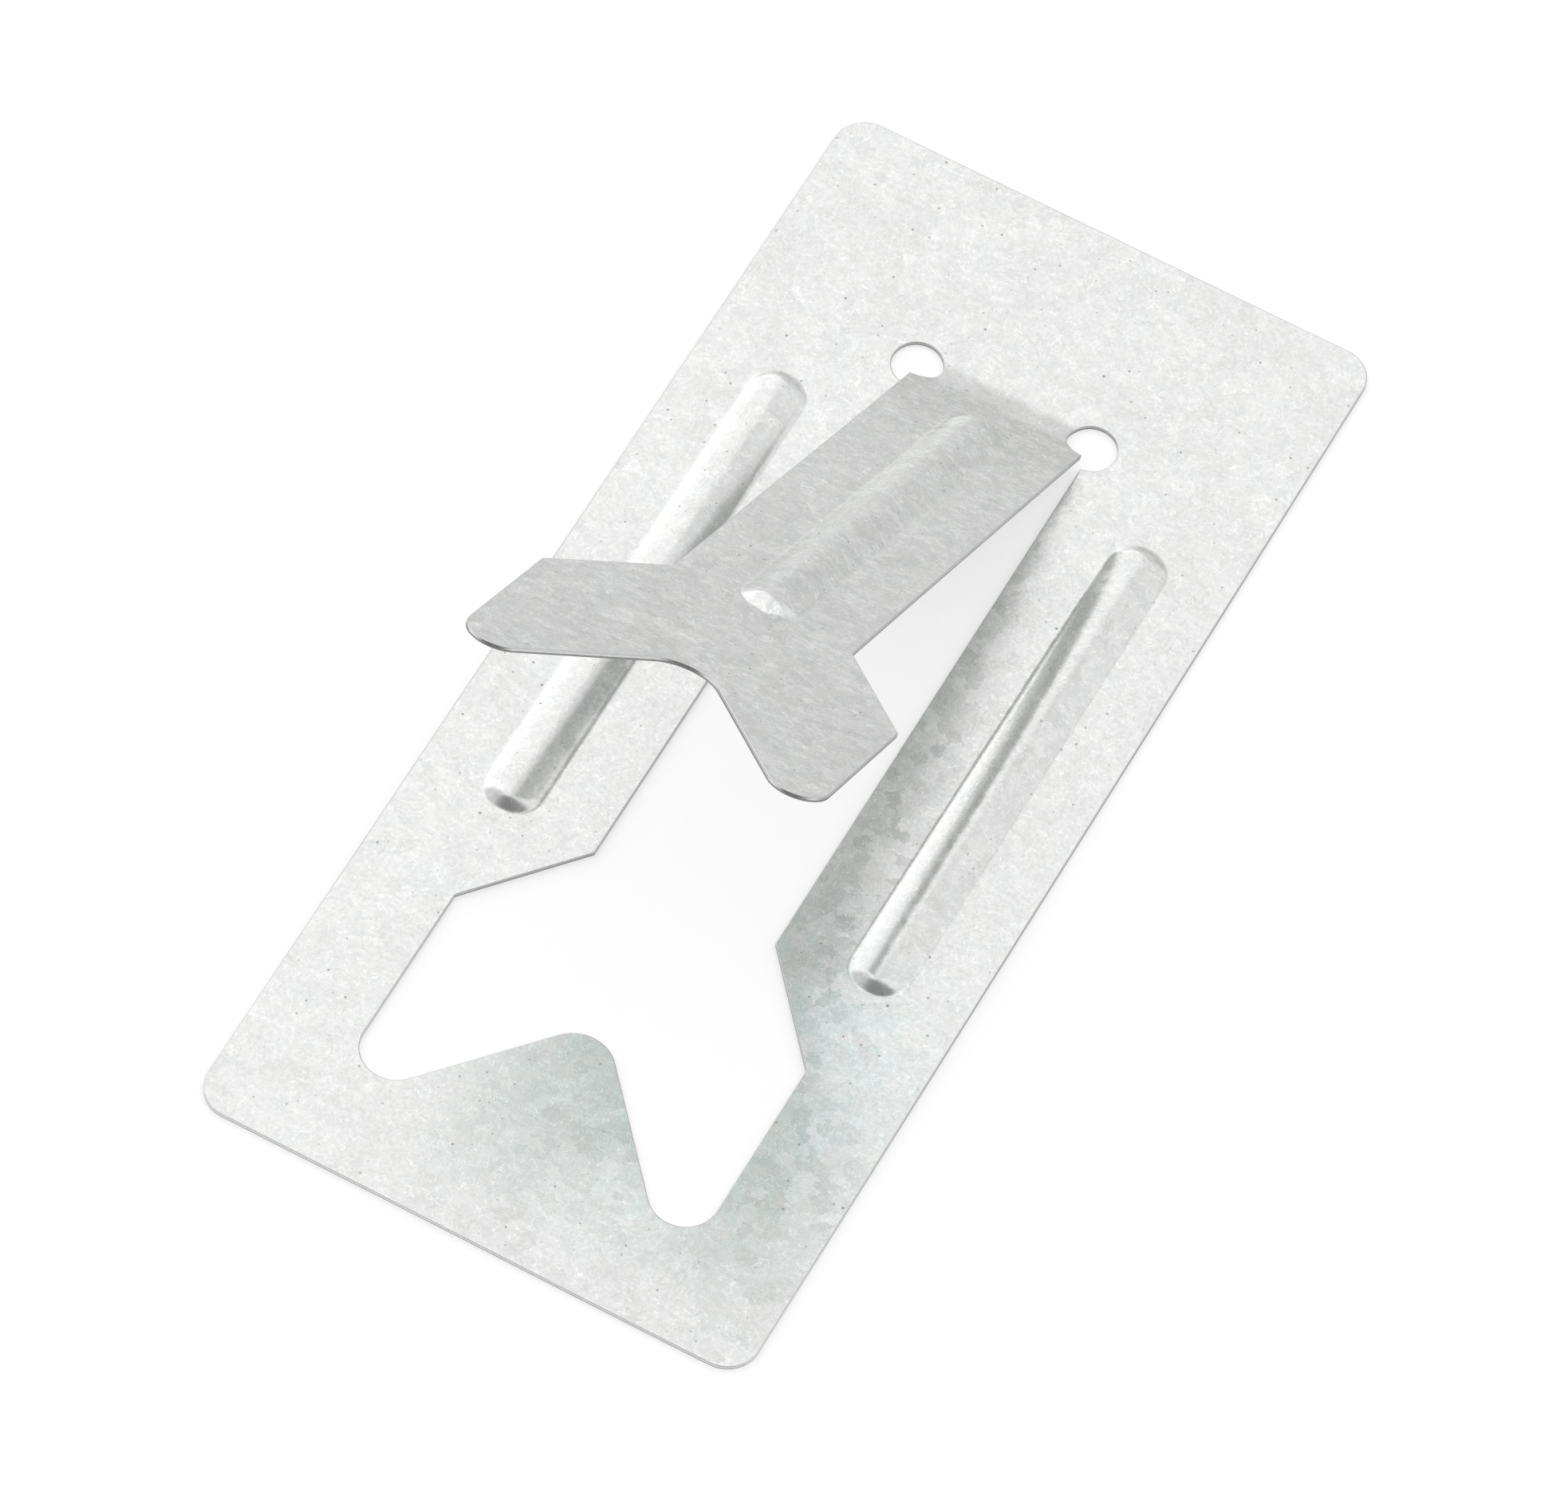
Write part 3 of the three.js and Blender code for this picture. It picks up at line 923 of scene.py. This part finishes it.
def tent_light(n, direction):
    """Brightness of the tent in a direction."""
    x, _, z = n.add("ShaderNodeSeparateXYZ", {"Vector": direction}).outputs
    roof = n.math("MULTIPLY", n.ramp(x, 0.14, -0.14, 0.12, 0.41), n.ramp(z, 0.66, 0.81))
    right_wall = n.math("MULTIPLY", n.ramp(x, 0.30, 0.55, 0.0, 0.19), n.ramp(z, 0.8, 0.6))
    light = n.math("ADD", n.math("ADD", TENT_LEVEL, roof), right_wall)
    for lobe in TENT_LOBES:
        light = n.math("ADD", light, tent_lobe(n, direction, *lobe))
    brightest = n.ramp(z, 0.20, 0.38, TENT_BRIGHTEST_LOW, TENT_BRIGHTEST)
    light = n.math("MINIMUM", light, brightest)
    to_camera = n.measure("DOT_PRODUCT", direction, TENT_DARK_SIDE)
    dark_share = n.ramp(z, 0.12, 0.32, 0.12, 0.36)
    return n.math("MULTIPLY", light, n.ramp(to_camera, 0.46, 0.70, 1.0, dark_share))


def make_world():
    """A light tent: bright to the left and overhead behind, darker round the camera."""
    world = bpy.data.worlds.new("tent")
    bpy.context.scene.world = world
    world.use_nodes = True
    n = Nodes(world.node_tree)
    direction = n.add("ShaderNodeTexCoord").outputs["Generated"]
    light = tent_light(n, direction)
    background = n.add("ShaderNodeBackground", {"Color": TENT_COLOUR, "Strength": light})
    n.add("ShaderNodeOutputWorld", {"Surface": background.outputs[0]})


def make_camera():
    """The camera at the photograph's angle, aimed so that the stand fills the frame."""
    seen_from = Vector((
        math.sin(CAMERA_AZIMUTH) * math.cos(CAMERA_ELEVATION),
        -math.cos(CAMERA_AZIMUTH) * math.cos(CAMERA_ELEVATION),
        math.sin(CAMERA_ELEVATION),
    ))
    data = bpy.data.cameras.new("camera")
    data.lens = CAMERA_LENS
    data.sensor_width = CAMERA_SENSOR
    data.clip_end = CAMERA_CLIP_END
    camera = linked(bpy.data.objects.new("camera", data))
    camera.location = CAMERA_PIVOT + seen_from * CAMERA_DISTANCE
    level = (CAMERA_AIM - camera.location).to_track_quat("-Z", "Y").to_matrix()
    camera.rotation_euler = (level @ Matrix.Rotation(CAMERA_ROLL, 3, "Z")).to_euler()
    bpy.context.scene.camera = camera


plate_zinc = zinc_material("galvanised_sheet", PLATE_STREAKS, painted_reflection=1.0)
tongue_zinc = zinc_material("galvanised_tongue", TONGUE_STREAKS, painted_reflection=0.0)
bare_steel = sheared_material("sheared_edge")
make_plate(plate_zinc, bare_steel)
make_tongue(tongue_zinc, bare_steel)
make_fold(plate_zinc, bare_steel)
make_floor()
make_world()
make_camera()
bpy.context.scene.view_settings.view_transform = "Standard"
